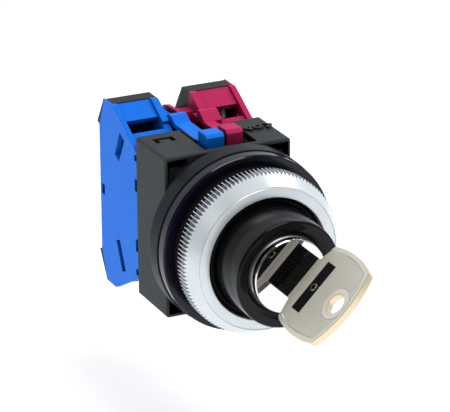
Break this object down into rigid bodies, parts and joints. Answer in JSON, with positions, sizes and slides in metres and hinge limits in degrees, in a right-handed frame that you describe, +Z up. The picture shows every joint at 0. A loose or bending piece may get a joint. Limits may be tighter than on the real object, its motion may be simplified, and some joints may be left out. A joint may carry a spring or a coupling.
{
  "type": "selector key switch",
  "caption": "Key-operated panel switch: square body with a round collar, knurled chrome locking ring, black lock sleeve with its key, and clip-on contact blocks behind.",
  "frame": {"origin": "on the barrel's axis, in the plane that the panel's back rests on", "axes": "-Y out of the front towards the key, +Z up, +X to the right seen from the front"},
  "size_m": [0.0446, 0.1, 0.0478],
  "materials": {
    "box_plastic": "fine-grained dark grey polyamide",
    "collar_plastic": "smooth blue-black, satin edge",
    "gasket_rubber": "smooth moulded",
    "washer_black": "matte black",
    "ring_chrome": "satin chrome plate, knurled edge",
    "barrel_black": "matte black",
    "sleeve_black": "polished black",
    "lock_zinc": "dull die-cast zinc",
    "plug_chrome": "polished, faintly turned",
    "wafer_brass": "stamped",
    "key_nickel": "nickel plated, hatched field, smooth rim",
    "inlay_black": "matte black insert",
    "eyelet_brass": "rolled",
    "steel_bright": "zinc plated",
    "spring_steel": "wire",
    "cam_white": "natural acetal",
    "seal_rubber": "moulded",
    "case_blue": "satin bright blue",
    "case_magenta": "satin magenta red",
    "cover_black": "satin black",
    "contact_brass": "stamped strip with silver tips"
  },
  "bodies": {
    "operator": {"operator_body": "box_plastic", "front_collar": "collar_plastic", "panel_gasket": "gasket_rubber", "threaded_barrel": "barrel_black", "barrel_screws": "steel_bright", "lock_sleeve": "sleeve_black", "lock_housing": "lock_zinc", "weather_seal": "seal_rubber", "index_ring": "cam_white", "rear_plate": "box_plastic", "plate_screws": "steel_bright", "left_block_case": "case_blue", "left_terminal_cover": "cover_black", "left_terminal_screws": "steel_bright", "left_wire_clamps": "steel_bright", "left_fixed_contacts": "contact_brass", "left_return_spring": "spring_steel", "right_block_case": "case_magenta", "right_terminal_cover": "cover_black", "right_terminal_screws": "steel_bright", "right_wire_clamps": "steel_bright", "right_fixed_contacts": "contact_brass", "right_return_spring": "spring_steel"},
    "slip_washer": {"slip_washer": "washer_black"},
    "locking_ring": {"locking_ring": "ring_chrome"},
    "plug": {"lock_plug": "plug_chrome", "wafers": "wafer_brass", "wafer_springs": "spring_steel", "retaining_clip": "steel_bright", "cam_rotor": "cam_white", "cam_screw": "steel_bright", "detent_ball": "steel_bright", "detent_spring": "spring_steel"},
    "key": {"key": "key_nickel", "key_inlay": "inlay_black", "key_eyelet": "eyelet_brass"},
    "left_actuator": {"left_pusher": "cam_white", "left_plunger": "cam_white", "left_bridge_contact": "contact_brass"},
    "right_actuator": {"right_pusher": "cam_white", "right_plunger": "cam_white", "right_bridge_contact": "contact_brass"},
    "left_latch": {"left_latch": "case_blue"},
    "right_latch": {"right_latch": "case_magenta"}
  },
  "joints": [
    {"name": "ring_travel", "type": "slide", "parent": "operator", "child": "slip_washer", "axis": [0, -1, 0], "range_m": [0, 0.0045]},
    {"name": "ring_spin", "type": "hinge", "parent": "slip_washer", "child": "locking_ring", "pos_m": [0, 0, 0], "axis": [0, -1, 0], "range_deg": [0, 1080]},
    {"name": "key_turn", "type": "hinge", "parent": "operator", "child": "plug", "pos_m": [0, 0, 0], "axis": [0, -1, 0], "range_deg": [0, 90]},
    {"name": "key_pull", "type": "slide", "parent": "plug", "child": "key", "axis": [0, -1, 0], "range_m": [0, 0.024]},
    {"name": "left_actuator_travel", "type": "slide", "parent": "operator", "child": "left_actuator", "axis": [0, 1, 0], "range_m": [0, 0.0021], "deforming": ["left_return_spring"]},
    {"name": "left_latch_lift", "type": "hinge", "parent": "operator", "child": "left_latch", "pos_m": [-0.0022, 0.0365, 0.0182], "axis": [-1, 0, 0], "range_deg": [0, 8], "stiffness_Nm_per_rad": 0.02},
    {"name": "right_actuator_travel", "type": "slide", "parent": "operator", "child": "right_actuator", "axis": [0, 1, 0], "range_m": [0, 0.0021], "deforming": ["right_return_spring"]},
    {"name": "right_latch_lift", "type": "hinge", "parent": "operator", "child": "right_latch", "pos_m": [0.0035, 0.0365, 0.0182], "axis": [-1, 0, 0], "range_deg": [0, 8], "stiffness_Nm_per_rad": 0.02}
  ],
  "couplings": [
    {"joint": "ring_travel", "follows": "ring_spin", "m_per_rad": 0.00023873},
    {"joint": "left_actuator_travel", "follows": "key_turn", "m_per_rad": 0.0012732},
    {"joint": "right_actuator_travel", "follows": "key_turn", "m_per_rad": 0.0012732}
  ]
}
